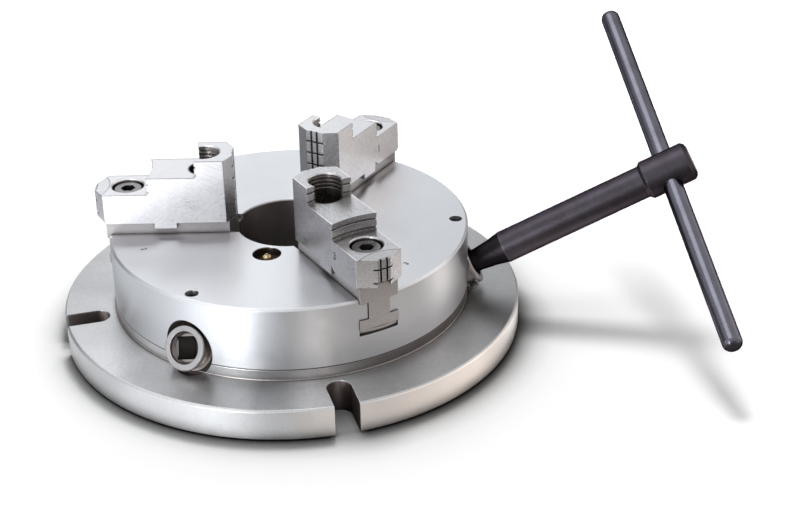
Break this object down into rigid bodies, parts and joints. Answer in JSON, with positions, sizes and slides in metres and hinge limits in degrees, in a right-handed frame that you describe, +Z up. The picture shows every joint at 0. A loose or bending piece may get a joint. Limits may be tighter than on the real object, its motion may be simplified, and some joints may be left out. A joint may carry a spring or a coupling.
{
  "type": "stationary chuck",
  "caption": "Flanged stationary scroll chuck: stepped jaws slide in radial guides, driven by slanted pinions through a scroll, with a T-handled key in its socket.",
  "frame": {"origin": "on the bore's axis, in the bottom face of the flange", "axes": "+Z up along the bore's axis; the clamping slots point along +X, -X, +Y and -Y"},
  "size_m": [0.2878, 0.2377, 0.1206],
  "materials": {
    "turned_steel": "finely turned bright steel",
    "ground_steel": "ground hardened steel with fine crossed scratches",
    "screw_steel": "plain screw steel",
    "black_steel": "black oxide, slightly worn",
    "brass": "dull brass"
  },
  "bodies": {
    "chuck": {"base_flange": "turned_steel", "chuck_body": "turned_steel", "body_screws": "screw_steel", "dowel_pins": "screw_steel", "grease_nipple": "brass", "pinion_screw_1": "screw_steel", "pinion_screw_2": "screw_steel", "pinion_screw_3": "screw_steel"},
    "scroll": {"scroll_plate": "ground_steel"},
    "pinion_1": {"pinion_1": "ground_steel"},
    "pinion_2": {"pinion_2": "ground_steel"},
    "pinion_3": {"pinion_3": "ground_steel"},
    "jaw_1": {"master_jaw_1": "ground_steel", "top_jaw_1": "ground_steel", "jaw_bolt_inner_1": "screw_steel", "jaw_bolt_outer_1": "screw_steel"},
    "jaw_2": {"master_jaw_2": "ground_steel", "top_jaw_2": "ground_steel", "jaw_bolt_inner_2": "screw_steel", "jaw_bolt_outer_2": "screw_steel"},
    "jaw_3": {"master_jaw_3": "ground_steel", "top_jaw_3": "ground_steel", "jaw_bolt_inner_3": "screw_steel", "jaw_bolt_outer_3": "screw_steel"},
    "key": {"key_shaft": "black_steel"},
    "bar": {"key_bar": "black_steel"}
  },
  "joints": [
    {"name": "scroll_turn", "type": "hinge", "parent": "chuck", "child": "scroll", "pos_m": [0, 0, 0.0323], "axis": [0, 0, 1], "range_deg": [-617, 1028]},
    {"name": "pinion_1_turn", "type": "hinge", "parent": "chuck", "child": "pinion_1", "pos_m": [-0.06046, -0.06046, 0.0273], "axis": [-0.63, -0.63, 0.454], "range_deg": [-6170, 3705]},
    {"name": "pinion_2_turn", "type": "hinge", "parent": "chuck", "child": "pinion_2", "pos_m": [0.08259, -0.02213, 0.0273], "axis": [0.8606, -0.2306, 0.454], "range_deg": [-6170, 3705]},
    {"name": "pinion_3_turn", "type": "hinge", "parent": "chuck", "child": "pinion_3", "pos_m": [-0.02213, 0.08259, 0.0273], "axis": [-0.2306, 0.8606, 0.454], "range_deg": [-6170, 3705]},
    {"name": "jaw_1_slide", "type": "slide", "parent": "chuck", "child": "jaw_1", "axis": [0.7071, 0.7071, 0], "range_m": [-0.02, 0.012]},
    {"name": "jaw_2_slide", "type": "slide", "parent": "chuck", "child": "jaw_2", "axis": [-0.9659, 0.2588, 0], "range_m": [-0.02, 0.012]},
    {"name": "jaw_3_slide", "type": "slide", "parent": "chuck", "child": "jaw_3", "axis": [0.2588, -0.9659, 0], "range_m": [-0.02, 0.012]},
    {"name": "key_withdraw", "type": "slide", "parent": "pinion_2", "child": "key", "axis": [0.8606, -0.2306, 0.454], "range_m": [0, 0.02]},
    {"name": "bar_slide", "type": "slide", "parent": "key", "child": "bar", "axis": [0.0439, 0.8839, 0.4656], "range_m": [-0.088, 0.087]}
  ],
  "couplings": [
    {"joint": "pinion_1_turn", "follows": "scroll_turn", "ratio": -6},
    {"joint": "pinion_2_turn", "follows": "scroll_turn", "ratio": -6},
    {"joint": "pinion_3_turn", "follows": "scroll_turn", "ratio": -6},
    {"joint": "jaw_1_slide", "follows": "scroll_turn", "m_per_rad": -0.0011141},
    {"joint": "jaw_2_slide", "follows": "scroll_turn", "m_per_rad": -0.0011141},
    {"joint": "jaw_3_slide", "follows": "scroll_turn", "m_per_rad": -0.0011141}
  ]
}
